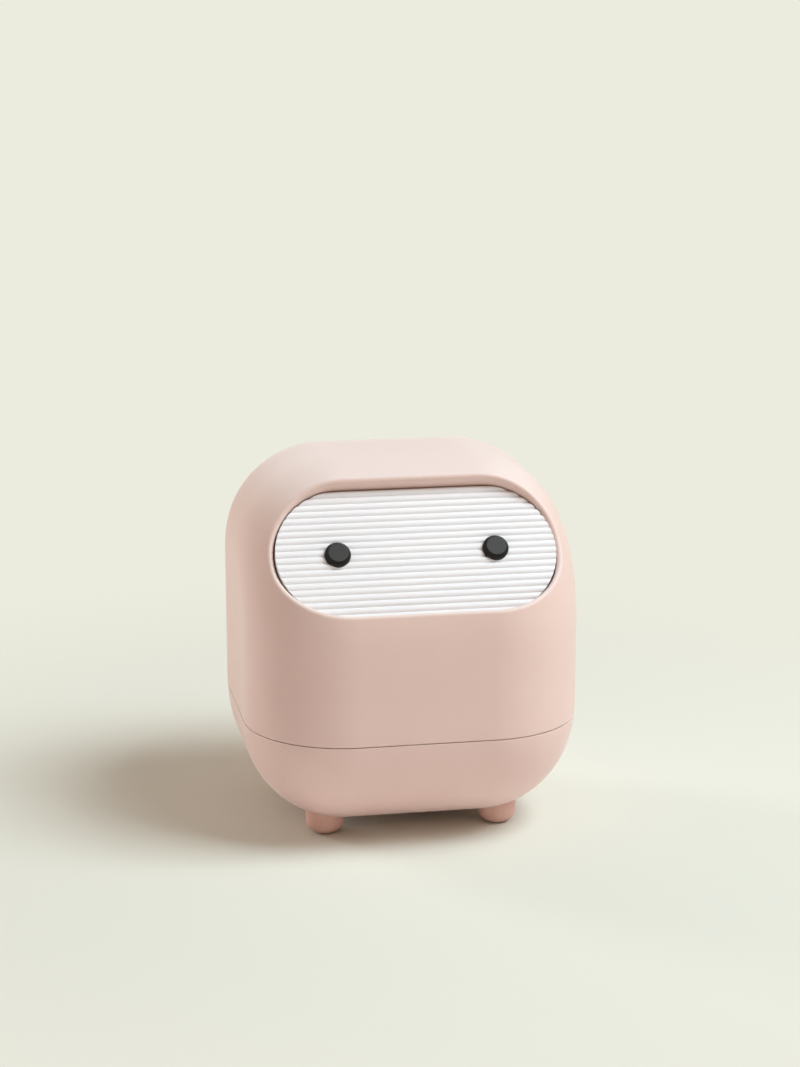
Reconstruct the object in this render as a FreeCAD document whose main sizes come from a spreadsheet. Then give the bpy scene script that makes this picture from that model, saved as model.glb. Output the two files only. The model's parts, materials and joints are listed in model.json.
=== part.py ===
import FreeCAD, Part
import Sketcher
import math
import os
import re

# A desktop trash can: a rounded bowl on four stub feet, an upper shell that lifts off it,
# a liner bucket inside, and a sprung ribbed flap with two button eyes in a sloping mouth.
# Z is up with the feet standing on Z = 0, the mouth faces -Y, and lengths are millimetres.

SIZES = {
    # Outer form of the bin, above the feet
    "body_width": 140.0,
    "body_depth": 139.0,
    "body_height": 149.8,
    "front_top_radius": 67.0,
    "back_top_radius": 46.5,
    "bottom_radius": 48.0,
    "side_radius": 41.8,
    "corner_margin": 2.0,
    "shell_wall": 2.2,
    # Seam between the bowl and the upper shell
    "seam_height": 43.2,
    "seam_gap": 0.5,
    "seam_reveal": 1.0,
    "root_depth": 4.0,
    "tongue_height": 5.0,
    "tongue_wall": 1.6,
    "tongue_clearance": 0.3,
    # Feet and their screws
    "foot_height": 5.2,
    "foot_diameter": 16.0,
    "foot_rounding": 5.5,
    "foot_reach": 8.0,
    "foot_from_side": 33.0,
    "foot_from_front": 38.5,
    "foot_fit": 0.05,
    "foot_boss_rise": 4.0,
    "foot_boss_diameter": 9.0,
    "foot_screw_diameter": 2.6,
    "foot_screw_length": 7.5,
    "foot_screw_head": 5.2,
    "foot_screw_head_depth": 1.6,
    "screw_tip_room": 0.5,
    "screw_clearance": 0.2,
    "thread_fit": 0.03,
    "drive_width": 0.6,
    "drive_length": 2.4,
    "drive_depth": 0.8,
    # Liner bucket and the pads that carry it
    "bucket_wall": 1.4,
    "bucket_clearance": 0.5,
    "bucket_headroom": 3.0,
    "bucket_lip": 2.0,
    "bucket_lip_height": 2.0,
    "grip_length": 34.0,
    "grip_height": 11.0,
    "grip_rounding": 4.5,
    "grip_drop": 6.0,
    "pad_diameter": 8.0,
    "pad_place_share": 0.62,
    # Flap, its ribs and the mouth round it
    "flap_from_side": 11.9,
    "flap_height": 58.8,
    "flap_thickness": 3.2,
    "flap_gap": 0.6,
    "swing_room": 1.0,
    "swing_room_start": 2.4,
    "flap_tilt": 40.6,
    "flap_recess": 14.0,
    "rib_count": 20,
    "rib_height": 0.9,
    "rib_valley": 0.2,
    "collar_wall": 2.4,
    "collar_overhang": 3.4,
    "rim_rounding": 1.5,
    # Button eyes and the washers behind them
    "eye_place_share": 0.563,
    "eye_diameter": 10.6,
    "eye_stand": 2.4,
    "eye_bevel": 1.3,
    "eye_rounding": 0.3,
    "eye_seat_clearance": 0.15,
    "eye_stem_diameter": 4.0,
    "eye_stem_clearance": 0.05,
    "eye_stem_tail": 2.6,
    "washer_diameter": 8.4,
    "washer_thickness": 1.0,
    # Hinge rod, the flap's lugs and the brackets
    "rod_diameter": 3.0,
    "rod_edge": 5.75,
    "rod_standoff": 4.7,
    "rod_clearance": 0.05,
    "rod_end_play": 0.3,
    "rod_chamfer": 0.4,
    "lug_diameter": 7.0,
    "lug_web": 5.0,
    "lug_outer_width": 4.5,
    "lug_inner_width": 3.0,
    "lug_side_play": 0.5,
    "bracket_place_share": 0.516,
    "bracket_width": 10.0,
    "bracket_flange": 16.0,
    "bracket_thickness": 3.0,
    "bracket_gap": 1.0,
    "bracket_end_wall": 2.0,
    "bracket_eye_diameter": 6.6,
    "bracket_corner": 1.5,
    "boss_diameter": 6.0,
    "boss_merge": 0.5,
    "boss_spacing": 9.0,
    "bracket_screw_diameter": 2.2,
    "bracket_screw_length": 9.5,
    "bracket_screw_head": 4.2,
    "bracket_screw_head_height": 1.6,
    # Return springs
    "spring_wire": 0.8,
    "spring_diameter": 6.0,
    "spring_pitch": 1.3,
    "spring_turns": 6,
    "spring_leg": 15.0,
    "spring_end_play": 0.6,
    "spring_rest_gap": 0.1,
    # Soft studs on the brackets that stop the closed flap
    "bumper_diameter": 2.0,
    "bumper_rounding": 0.6,
    "bumper_gap": 0.1,
    "bumper_clearance": 0.2,
    "bumper_stem": 1.2,
    "bumper_stem_clearance": 0.05,
    "bumper_barb": 2.2,
    "bumper_barb_length": 1.6,
    # How far a cut runs past what it cuts
    "overrun": 1.0,
}

# Places and sizes worked out from the driving dimensions, each from those above it
WORKED = {
    "side_rounding": "min(side_radius; min(back_top_radius; bottom_radius) - corner_margin)",
    "seam_z": "foot_height + seam_height",
    "shell_foot": "seam_z + seam_gap",
    "bottom_fall": "bottom_radius - sqrt(bottom_radius^2 - max(0; bottom_radius - seam_height)^2)",
    "side_fall": "side_rounding - sqrt(side_rounding^2 - max(0; side_rounding - seam_height)^2)",
    "tongue_inset": "shell_wall + tongue_clearance",
    "well_inset": "tongue_inset + tongue_wall",
    "foot_x": "body_width / 2 - foot_from_side",
    "foot_y": "body_depth / 2 - foot_from_front",
    "foot_boss_height": "shell_wall + foot_boss_rise",
    "foot_boss_top": "foot_height + foot_boss_height",
    "foot_pilot_floor": "foot_boss_top - foot_screw_length - screw_tip_room",
    "bucket_inset": "max(foot_boss_height; well_inset) + bucket_clearance",
    "bucket_floor": "foot_height + bucket_inset",
    "pad_x": "(body_width / 2 - side_rounding) * pad_place_share",
    "pad_y": "(body_depth / 2 - bottom_radius) * pad_place_share",
    "flap_length": "body_width - 2 * flap_from_side",
    "flap_radius": "flap_height / 2",
    "flap_straight": "flap_length / 2 - flap_radius",
    "eye_x": "flap_length / 2 * eye_place_share",
    "mouth_radius": "flap_radius + flap_gap",
    "relief_radius": "flap_radius + swing_room",
    "collar_radius": "mouth_radius + collar_wall",
    "collar_depth": "flap_thickness + collar_overhang",
    "collar_reach": "flap_recess + shell_wall",
    "flap_stand": "front_top_radius - flap_recess",
    "flap_y": "front_top_radius - body_depth / 2 - flap_stand * cos(flap_tilt)",
    "flap_z": "foot_height + body_height - front_top_radius + flap_stand * sin(flap_tilt)",
    "rib_pitch": "flap_height / rib_count",
    "rib_half": "(rib_pitch - rib_valley) / 2",
    "rib_radius": "(rib_half^2 + rib_height^2) / (2 * rib_height)",
    "rod_rise": "flap_radius - rod_edge",
    "rod_depth": "flap_thickness + rod_standoff",
    "rod_z": "flap_z + rod_rise * cos(flap_tilt) - rod_depth * sin(flap_tilt)",
    "flap_sweep": "sqrt((rod_rise + flap_radius)^2 + rod_depth^2)",
    "bucket_top": "rod_z - flap_sweep - bucket_headroom",
    "bracket_place": "flap_length / 2 * bracket_place_share",
    "bracket_inner": "bracket_place - bracket_width / 2",
    "rod_half": "bracket_place + bracket_width / 2 - bracket_end_wall - rod_end_play",
    "lug_outer_end": "bracket_inner - lug_side_play",
    "lug_outer_start": "lug_outer_end - lug_outer_width",
    "spring_length": "(spring_turns + 1 / 2) * spring_pitch + spring_wire",
    "lug_inner_end": "lug_outer_start - spring_length - 2 * spring_end_play",
    "lug_inner_start": "lug_inner_end - lug_inner_width",
    "bracket_front": "collar_depth + bracket_gap",
    "bracket_back": "bracket_front + bracket_thickness",
    "boss_rise": "collar_radius + boss_diameter / 2 - boss_merge",
    "bumper_rise": "rod_rise + (bracket_eye_diameter + bumper_diameter) / 2 + bumper_clearance",
    "bumper_crown": "-flap_thickness - bumper_gap",
}

doc = FreeCAD.newDocument("desktop_trash_can")
sheet = doc.addObject("Spreadsheet::Sheet", "sizes")
for row, (size_name, size) in enumerate(SIZES.items(), start=1):
    sheet.set(f"A{row}", size_name)
    sheet.set(f"B{row}", str(size))
    sheet.setAlias(f"B{row}", size_name)
worked = doc.addObject("App::VarSet", "worked")
doc.recompute()


def named(formula):
    """A formula in plain names, with each name pointed at the sheet or the worked values."""
    def reference(match):
        word = match.group()
        if word in SIZES:
            return "sizes." + word
        if word in WORKED:
            return "worked." + word
        return word
    return re.sub(r"[a-z][a-z_]*", reference, formula)


for worked_name, worked_formula in WORKED.items():
    worked.addProperty("App::PropertyFloat", worked_name)
    worked.setExpression(worked_name, named(worked_formula))
doc.recompute()


def number(name):
    """The present value of a driving or worked size."""
    if name in SIZES:
        return float(sheet.get(name))
    return getattr(worked, name)


X_AXIS = FreeCAD.Vector(1, 0, 0)
Y_AXIS = FreeCAD.Vector(0, 1, 0)
TURN_TO = {
    "X": FreeCAD.Rotation(Y_AXIS, 90),
    "Y": FreeCAD.Rotation(X_AXIS, -90),
    "Z": FreeCAD.Rotation(),
}
SIDES = {"left": -1, "right": 1}
ENDS = {"front": -1, "rear": 1}


def flap_placement():
    """The flap's own frame: X along the bin, Y up the flap's face, Z out of it."""
    corner = FreeCAD.Vector(0, number("flap_y"), number("flap_z"))
    return FreeCAD.Placement(corner, FreeCAD.Rotation(X_AXIS, 90 - number("flap_tilt")))


def new_body(name, on_flap=False):
    """An empty body, in the bin's frame or in the flap's own."""
    body = doc.addObject("PartDesign::Body", name)
    body.Label = name
    body.AllowCompound = True
    if on_flap:
        body.Placement = flap_placement()
        body.setExpression("Placement.Base.y", named("flap_y"))
        body.setExpression("Placement.Base.z", named("flap_z"))
        body.setExpression("Placement.Rotation.Angle", named("90 - flap_tilt"))
    return body


def place(feature, corner):
    """Bind a feature's corner or start to three formulas."""
    for letter, formula in zip("xyz", corner):
        feature.setExpression(f"Placement.Base.{letter}", named(formula))


def block(body, name, low, high, kind="Additive"):
    """A box between two corners, added to a body or cut from it."""
    feature = body.newObject(f"PartDesign::{kind}Box", name)
    for size, start, end in zip(("Length", "Width", "Height"), low, high):
        feature.setExpression(size, named(f"({end}) - ({start})"))
    place(feature, low)
    return feature


def bar(body, name, start, axis, length, radius, kind="Additive"):
    """A round bar from a start point along an axis, added to a body or cut from it."""
    feature = body.newObject(f"PartDesign::{kind}Cylinder", name)
    feature.Placement = FreeCAD.Placement(FreeCAD.Vector(), TURN_TO[axis])
    place(feature, start)
    feature.setExpression("Height", named(length))
    feature.setExpression("Radius", named(radius))
    return feature


def cone(body, name, start, axis, length, start_radius, end_radius, kind="Additive"):
    """A cone from a start point along an axis, added to a body or cut from it."""
    feature = body.newObject(f"PartDesign::{kind}Cone", name)
    feature.Placement = FreeCAD.Placement(FreeCAD.Vector(), TURN_TO[axis])
    place(feature, start)
    feature.setExpression("Height", named(length))
    feature.setExpression("Radius1", named(start_radius))
    feature.setExpression("Radius2", named(end_radius))
    return feature


def dress_edges(body, name, radius, wanted, kind="Fillet"):
    """Round or bevel the edges of a body's last feature that a test picks out."""
    doc.recompute()
    base = body.Tip
    names = [f"Edge{i}" for i, edge in enumerate(base.Shape.Edges, start=1) if wanted(edge)]
    feature = body.newObject(f"PartDesign::{kind}", name)
    feature.Base = (base, names)
    feature.setExpression("Radius" if kind == "Fillet" else "Size", named(radius))
    return feature


NEAR = 1e-4


def near(first, second):
    return abs(first - second) < NEAR


def origin_part(body, role):
    """A plane or axis of a body's own origin."""
    return next(part for part in body.Origin.OriginFeatures if part.Role == role)


def new_sketch(body, name, role):
    """A sketch on one of a body's origin planes."""
    sketch = body.newObject("Sketcher::SketchObject", name)
    sketch.AttachmentSupport = (origin_part(body, role), [""])
    sketch.MapMode = "FlatFace"
    return sketch


def bind(sketch, formula, *constraint):
    """Add a dimension to a sketch and bind it to a formula."""
    index = sketch.addConstraint(Sketcher.Constraint(*constraint))
    sketch.setExpression(f"Constraints[{index}]", named(formula))


def stadium(body, name, radius, low, high):
    """A stadium-shaped plate round the flap's middle, between two heights over its face."""
    half = number("flap_straight")
    bend = number("flap_radius")
    sketch = new_sketch(body, name + "_outline", "XY_Plane")
    sketch.setExpression("AttachmentOffset.Base.z", named(low))
    right_centre = FreeCAD.Vector(half, 0, 0)
    left_centre = FreeCAD.Vector(-half, 0, 0)
    rise = FreeCAD.Vector(0, bend, 0)
    up = FreeCAD.Vector(0, 0, 1)
    quarter = math.pi / 2
    right = sketch.addGeometry(Part.ArcOfCircle(Part.Circle(right_centre, up, bend), -quarter, quarter))
    left = sketch.addGeometry(Part.ArcOfCircle(Part.Circle(left_centre, up, bend), quarter, 3 * quarter))
    top = sketch.addGeometry(Part.LineSegment(right_centre + rise, left_centre + rise))
    bottom = sketch.addGeometry(Part.LineSegment(left_centre - rise, right_centre - rise))
    for first, first_end, second, second_end in (
        (right, 2, top, 1), (top, 2, left, 1), (left, 2, bottom, 1), (bottom, 2, right, 1),
    ):
        sketch.addConstraint(Sketcher.Constraint("Tangent", first, first_end, second, second_end))
    sketch.addConstraint(Sketcher.Constraint("Equal", right, left))
    for arc in (right, left):
        sketch.addConstraint(Sketcher.Constraint("PointOnObject", arc, 3, -1))
    bind(sketch, "flap_straight", "DistanceX", -1, 1, right, 3, half)
    bind(sketch, "flap_straight", "DistanceX", left, 3, -1, 1, half)
    bind(sketch, radius, "Radius", right, bend)
    pad = body.newObject("PartDesign::Pad", name)
    pad.Profile = sketch
    pad.setExpression("Length", named(f"({high}) - ({low})"))
    return pad


def form(name, inset):
    """The bin's rounded outer form, drawn in by an inset on every side."""
    body = new_body(name)
    low = (f"{inset} - body_width / 2", f"{inset} - body_depth / 2", f"{inset} + foot_height")
    high = (f"body_width / 2 - ({inset})", f"body_depth / 2 - ({inset})",
            f"foot_height + body_height - ({inset})")
    block(body, name + "_block", low, high)
    doc.recompute()
    box = body.Shape.BoundBox

    def front_top_edge(edge):
        return near(edge.CenterOfMass.z, box.ZMax) and near(edge.CenterOfMass.y, box.YMin)

    def back_top_edge(edge):
        return near(edge.CenterOfMass.z, box.ZMax) and near(edge.CenterOfMass.y, box.YMax)

    def bottom_edge(edge):
        return near(edge.CenterOfMass.z, box.ZMin) and near(abs(edge.CenterOfMass.y), box.YMax)

    def side_edge(edge):
        return near(edge.BoundBox.XMin, edge.BoundBox.XMax)

    dress_edges(body, name + "_front", f"front_top_radius - ({inset})", front_top_edge)
    dress_edges(body, name + "_back", f"back_top_radius - ({inset})", back_top_edge)
    dress_edges(body, name + "_bottom", f"bottom_radius - ({inset})", bottom_edge)
    dress_edges(body, name + "_sides", f"side_rounding - ({inset})", side_edge)
    return body


def prism(name, inset, low, high):
    """An upright block with the plan of the bin at its seam, drawn in by an inset."""
    body = new_body(name)
    half_width = f"body_width / 2 - side_fall - ({inset})"
    half_depth = f"body_depth / 2 - bottom_fall - ({inset})"
    corner = (f"-({half_width})", f"-({half_depth})", low)
    block(body, name + "_block", corner, (half_width, half_depth, high))

    def upright(edge):
        return not near(edge.BoundBox.ZMin, edge.BoundBox.ZMax)

    dress_edges(body, name + "_corners", f"side_rounding - ({inset})", upright)
    return body


def solid_box(name, low, high):
    """A plain box that keeps one end of the bin."""
    box = doc.addObject("Part::Box", name)
    for size, start, end in zip(("Length", "Width", "Height"), low, high):
        box.setExpression(size, named(f"({end}) - ({start})"))
    place(box, low)
    return box


def cut(name, base, tool):
    result = doc.addObject("Part::Cut", name)
    result.Base = base
    result.Tool = tool
    return result


def common(name, base, tool):
    result = doc.addObject("Part::Common", name)
    result.Base = base
    result.Tool = tool
    return result


def fuse(name, *shapes):
    result = doc.addObject("Part::MultiFuse", name)
    result.Shapes = list(shapes)
    return result


def slice_of_bin(name, low, high):
    """A box as wide and deep as the bin, between two heights."""
    half_width = "body_width / 2 + overrun"
    half_depth = "body_depth / 2 + overrun"
    return solid_box(name, (f"-({half_width})", f"-({half_depth})", low), (half_width, half_depth, high))


def cross_drive(body, name, centre, high, axis_sign):
    """A cross recess in a screw head whose face is square to Z."""
    x, y = centre
    half_width = "drive_width / 2"
    half_length = "drive_length / 2"
    floor = f"{high} - {axis_sign} * drive_depth"
    low_z, high_z = (floor, high) if axis_sign > 0 else (high, floor)
    for tag, across, along in (("a", half_width, half_length), ("b", half_length, half_width)):
        low = (f"{x} - {across}", f"{y} - {along}", low_z)
        far = (f"{x} + {across}", f"{y} + {along}", high_z)
        block(body, f"{name}_{tag}", low, far, "Subtractive")


outer_form = form("outer_form", "0")
inner_form = form("inner_form", "shell_wall")

# Bowl: the lower end of the shelled form, a rim with a tongue inside the shell,
# bosses for the feet's screws and pads under the bucket
foot_places = [
    (end, side, f"{side_sign} * foot_x", f"{end_sign} * foot_y")
    for end, end_sign in ENDS.items() for side, side_sign in SIDES.items()
]
lower_slice = slice_of_bin("lower_slice", "-overrun", "seam_z")
bowl_skin = cut("bowl_skin", common("bowl_solid", outer_form, lower_slice), inner_form)
rim_root = prism("rim_root", "seam_reveal", "seam_z - root_depth", "shell_foot")
rim_tongue = prism("rim_tongue", "tongue_inset", "seam_z - root_depth", "shell_foot + tongue_height")
rim_well = prism("rim_well", "well_inset", "seam_z - root_depth - overrun",
                 "shell_foot + tongue_height + overrun")
rim_ring = cut("rim_ring", fuse("rim_blank", common("rim_root_in_bowl", rim_root, outer_form), rim_tongue),
               rim_well)
bowl_posts = new_body("bowl_posts")
bowl_holes = new_body("bowl_holes")
for end, side, x, y in foot_places:
    tag = f"{end}_{side}"
    bar(bowl_posts, f"boss_{tag}", (x, y, "foot_height"), "Z", "foot_boss_height", "foot_boss_diameter / 2")
    bar(bowl_holes, f"hole_{tag}", (x, y, "foot_height - overrun"), "Z",
        "foot_boss_height + 2 * overrun", "foot_screw_diameter / 2 + screw_clearance")
    cone(bowl_holes, f"sink_{tag}", (x, y, "foot_boss_top - foot_screw_head_depth"), "Z",
         "foot_screw_head_depth", "foot_screw_diameter / 2 + screw_clearance",
         "foot_screw_head / 2 + screw_clearance")
for end, end_sign in ENDS.items():
    for side, side_sign in SIDES.items():
        bar(bowl_posts, f"pad_{end}_{side}", (f"{side_sign} * pad_x", f"{end_sign} * pad_y", "foot_height"),
            "Z", "bucket_inset", "pad_diameter / 2")
bowl_fittings = common("bowl_fittings", bowl_posts, outer_form)
base_bowl = cut("base_bowl", fuse("bowl_blank", bowl_skin, rim_ring, bowl_fittings), bowl_holes)

# Feet: round stubs with rounded soles, their tops shaped to the bowl
foot_form = form("foot_form", "-foot_fit")
feet = []
for end, side, x, y in foot_places:
    tag = f"{end}_{side}"
    peg = new_body(f"peg_{tag}")
    bar(peg, f"peg_{tag}_stub", (x, y, "0"), "Z", "foot_height + foot_reach", "foot_diameter / 2")

    def sole(edge):
        return near(edge.BoundBox.ZMax, 0)

    dress_edges(peg, f"peg_{tag}_sole", "foot_rounding", sole)
    bar(peg, f"peg_{tag}_pilot", (x, y, "foot_pilot_floor"), "Z", "foot_height + foot_reach",
        "foot_screw_diameter / 2 + thread_fit", "Subtractive")
    feet.append(cut(f"foot_{tag}", peg, foot_form))

# Countersunk screws from the bowl's bosses down into the feet
foot_screws = new_body("foot_screws")
for end, side, x, y in foot_places:
    tag = f"{end}_{side}"
    bar(foot_screws, f"shank_{tag}", (x, y, "foot_boss_top - foot_screw_length"), "Z",
        "foot_screw_length - foot_screw_head_depth / 2", "foot_screw_diameter / 2")
    cone(foot_screws, f"head_{tag}", (x, y, "foot_boss_top - foot_screw_head_depth"), "Z",
         "foot_screw_head_depth", "foot_screw_diameter / 2", "foot_screw_head / 2")
    cross_drive(foot_screws, f"drive_{tag}", (x, y), "foot_boss_top", 1)

# Liner bucket: the same form drawn in again, cut off below the flap's sweep, with a lip and grips
bucket_outside = form("bucket_outside", "bucket_inset")
bucket_inside = form("bucket_inside", "bucket_inset + bucket_wall")
bucket_slice = slice_of_bin("bucket_slice", "0", "bucket_top")
bucket_lip = prism("bucket_lip_ring", "bucket_inset - bucket_lip", "bucket_top - bucket_lip_height",
                   "bucket_top")
bucket_blank = fuse("bucket_blank", common("bucket_solid", bucket_outside, bucket_slice), bucket_lip)
grip_slots = new_body("grip_slots")
grip_top = "bucket_top - bucket_lip_height - grip_drop"
block(grip_slots, "grip_bar", ("-body_width / 2", "-grip_length / 2", f"{grip_top} - grip_height"),
      ("body_width / 2", "grip_length / 2", grip_top))


def along_x(edge):
    return not near(edge.BoundBox.XMin, edge.BoundBox.XMax)


dress_edges(grip_slots, "grip_corners", "grip_rounding", along_x)
inner_bucket = cut("inner_bucket", cut("bucket_cup", bucket_blank, bucket_inside), grip_slots)

# Upper shell: the upper end of the shelled form with a collar round the mouth,
# and bosses for the brackets above it
upper_slice = slice_of_bin("upper_slice", "shell_foot", "foot_height + body_height + overrun")
shell_skin = cut("shell_skin", common("shell_solid", outer_form, upper_slice), inner_form)
collar = new_body("collar", on_flap=True)
stadium(collar, "collar_plate", "collar_radius", "-collar_depth", "collar_reach")
mouth = new_body("mouth", on_flap=True)
stadium(mouth, "mouth_hole", "mouth_radius", "-collar_depth - overrun", "collar_reach + overrun")
stadium(mouth, "swing_relief", "relief_radius", "-collar_depth - overrun", "-swing_room_start")
bracket_screw_places = [
    (f"{side}_{end}", f"{side_sign} * bracket_place + {step} * boss_spacing / 2")
    for side, side_sign in SIDES.items() for end, step in (("inner", -side_sign), ("outer", side_sign))
]
for tag, x in bracket_screw_places:
    bar(collar, f"boss_{tag}", (x, "boss_rise", "-bracket_front"), "Z", "bracket_front + collar_reach",
        "boss_diameter / 2")
    bar(mouth, f"pilot_{tag}", (x, "boss_rise", "-bracket_front - overrun"), "Z",
        "bracket_screw_length - bracket_thickness + screw_tip_room + overrun",
        "bracket_screw_diameter / 2 + thread_fit")
collar_in_shell = common("collar_in_shell", collar, outer_form)
shell_blank = cut("shell_blank", fuse("shell_fused", shell_skin, collar_in_shell), mouth)
doc.recompute()
upper_shell = new_body("upper_shell")
upper_shell.BaseFeature = shell_blank
to_flap = flap_placement().inverse()


def rim_edge(edge):
    """An edge where the mouth's wall meets the outside of the shell."""
    for point in edge.discretize(Number=5):
        place_on_flap = to_flap.multVec(point)
        past_straight = max(0, abs(place_on_flap.x) - number("flap_straight"))
        if abs(math.hypot(past_straight, place_on_flap.y) - number("mouth_radius")) > 10 * NEAR:
            return False
        if place_on_flap.z < -number("flap_thickness") / 2:
            return False
    return True


dress_edges(upper_shell, "rim", "rim_rounding", rim_edge)

# Ribbed flap: a sheet of half-round ribs trimmed to a stadium, with hinge lugs behind
# and a flat seat and stem hole for each eye
rib_sheet = new_body("rib_sheet", on_flap=True)
block(rib_sheet, "rib_slab", ("-flap_length / 2", "-flap_radius", "-flap_thickness"),
      ("flap_length / 2", "flap_radius", "-rib_height"))
rib_outline = new_sketch(rib_sheet, "rib_outline", "YZ_Plane")
rib_middle = number("rib_pitch") / 2 - number("flap_radius")
rib_half = number("rib_half")
rib_radius = number("rib_radius")
rib_spring = math.asin(rib_half / rib_radius)
valley = -number("rib_height")
root = valley - number("rib_height")
rib_circle = Part.Circle(FreeCAD.Vector(rib_middle, -rib_radius, 0), FreeCAD.Vector(0, 0, 1), rib_radius)
rib_bow = Part.ArcOfCircle(rib_circle, math.pi / 2 - rib_spring, math.pi / 2 + rib_spring)
rib_arc = rib_outline.addGeometry(rib_bow)
rib_corners = [
    FreeCAD.Vector(rib_middle - rib_half, valley, 0), FreeCAD.Vector(rib_middle - rib_half, root, 0),
    FreeCAD.Vector(rib_middle + rib_half, root, 0), FreeCAD.Vector(rib_middle + rib_half, valley, 0),
]
rib_lines = [rib_outline.addGeometry(Part.LineSegment(a, b)) for a, b in zip(rib_corners, rib_corners[1:])]
rib_left, rib_bottom, rib_right = rib_lines
for first, first_end, second, second_end in (
    (rib_arc, 2, rib_left, 1), (rib_left, 2, rib_bottom, 1),
    (rib_bottom, 2, rib_right, 1), (rib_right, 2, rib_arc, 1),
):
    rib_outline.addConstraint(Sketcher.Constraint("Coincident", first, first_end, second, second_end))
rib_outline.addConstraint(Sketcher.Constraint("Vertical", rib_left))
rib_outline.addConstraint(Sketcher.Constraint("Vertical", rib_right))
rib_outline.addConstraint(Sketcher.Constraint("Horizontal", rib_bottom))
bind(rib_outline, "flap_radius - rib_pitch / 2", "DistanceX", rib_arc, 3, -1, 1, -rib_middle)
bind(rib_outline, "rib_radius", "DistanceY", rib_arc, 3, -1, 1, rib_radius)
bind(rib_outline, "rib_radius", "Radius", rib_arc, rib_radius)
bind(rib_outline, "rib_half", "DistanceX", rib_arc, 3, rib_right, 2, rib_half)
bind(rib_outline, "rib_half", "DistanceX", rib_left, 1, rib_arc, 3, rib_half)
bind(rib_outline, "2 * rib_height", "DistanceY", rib_bottom, 1, -1, 1, -root)
rib = rib_sheet.newObject("PartDesign::Pad", "rib")
rib.Profile = rib_outline
rib.Midplane = True
rib.setExpression("Length", named("flap_length"))
doc.recompute()
ribs = rib_sheet.newObject("PartDesign::LinearPattern", "ribs")
ribs.Originals = [rib]
ribs.Direction = (origin_part(rib_sheet, "Y_Axis"), [""])
ribs.setExpression("Length", named("flap_height - rib_pitch"))
ribs.setExpression("Occurrences", named("rib_count"))
rib_sheet.Tip = ribs
flap_plan = new_body("flap_plan", on_flap=True)
stadium(flap_plan, "flap_plan_plate", "flap_radius", "-flap_thickness - overrun", "overrun")
lugs = new_body("lugs", on_flap=True)
flap_bores = new_body("flap_bores", on_flap=True)
bar(flap_bores, "rod_bore", ("-flap_length / 2", "rod_rise", "-rod_depth"), "X", "flap_length",
    "rod_diameter / 2 + rod_clearance")
for side, side_sign in SIDES.items():
    for place_tag, near_end, far_end in (
        ("inner", "lug_inner_start", "lug_inner_end"), ("outer", "lug_outer_start", "lug_outer_end"),
    ):
        low_x, high_x = (near_end, far_end) if side_sign > 0 else (f"-{far_end}", f"-{near_end}")
        bar(lugs, f"lug_{side}_{place_tag}", (low_x, "rod_rise", "-rod_depth"), "X",
            f"({high_x}) - ({low_x})", "lug_diameter / 2")
        block(lugs, f"web_{side}_{place_tag}", (low_x, "rod_rise - lug_web / 2", "-rod_depth"),
              (high_x, "rod_rise + lug_web / 2", "-flap_thickness"))
    eye_place = f"{side_sign} * eye_x"
    bar(flap_bores, f"eye_seat_{side}", (eye_place, "0", "-rib_height"), "Z", "rib_height + overrun",
        "eye_diameter / 2 + eye_seat_clearance")
    bar(flap_bores, f"stem_hole_{side}", (eye_place, "0", "-flap_thickness - overrun"), "Z",
        "flap_thickness + overrun", "eye_stem_diameter / 2 + eye_stem_clearance")
flap_face = common("flap_face", rib_sheet, flap_plan)
ribbed_flap = cut("ribbed_flap", fuse("flap_blank", flap_face, lugs), flap_bores)

# Eyes: low round buttons with a bevelled face and a stem through the flap, and the washers pushed on behind
eyes = []
eye_washers = new_body("eye_washers", on_flap=True)
for side, side_sign in SIDES.items():
    eye_place = f"{side_sign} * eye_x"
    eye = new_body(f"eye_{side}", on_flap=True)
    bar(eye, f"eye_{side}_button", (eye_place, "0", "-rib_height"), "Z", "rib_height + eye_stand",
        "eye_diameter / 2")

    def crown(edge):
        return near(edge.BoundBox.ZMin, number("eye_stand"))

    def bevel_edge(edge):
        box = edge.BoundBox
        return near(box.ZMin, box.ZMax) and box.ZMin > number("eye_stand") - number("eye_bevel") - NEAR

    dress_edges(eye, f"eye_{side}_bevel", "eye_bevel", crown, "Chamfer")
    dress_edges(eye, f"eye_{side}_crown", "eye_rounding", bevel_edge)
    stem_end = "-flap_thickness - eye_stem_tail"
    bar(eye, f"eye_{side}_stem", (eye_place, "0", stem_end), "Z",
        "flap_thickness + eye_stem_tail - rib_height / 2", "eye_stem_diameter / 2")
    eyes.append(eye)
    washer_back = "-flap_thickness - washer_thickness"
    bar(eye_washers, f"washer_{side}", (eye_place, "0", washer_back), "Z", "washer_thickness",
        "washer_diameter / 2")
    bar(eye_washers, f"washer_hole_{side}", (eye_place, "0", f"{washer_back} - overrun"), "Z",
        "washer_thickness + 2 * overrun", "eye_stem_diameter / 2 + thread_fit", "Subtractive")

# Hinge rod and the two brackets that hold its ends in blind bores
hinge_rod = new_body("hinge_rod", on_flap=True)
bar(hinge_rod, "rod", ("-rod_half", "rod_rise", "-rod_depth"), "X", "2 * rod_half", "rod_diameter / 2")


def rod_end(edge):
    return near(edge.BoundBox.XMin, edge.BoundBox.XMax)


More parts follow.
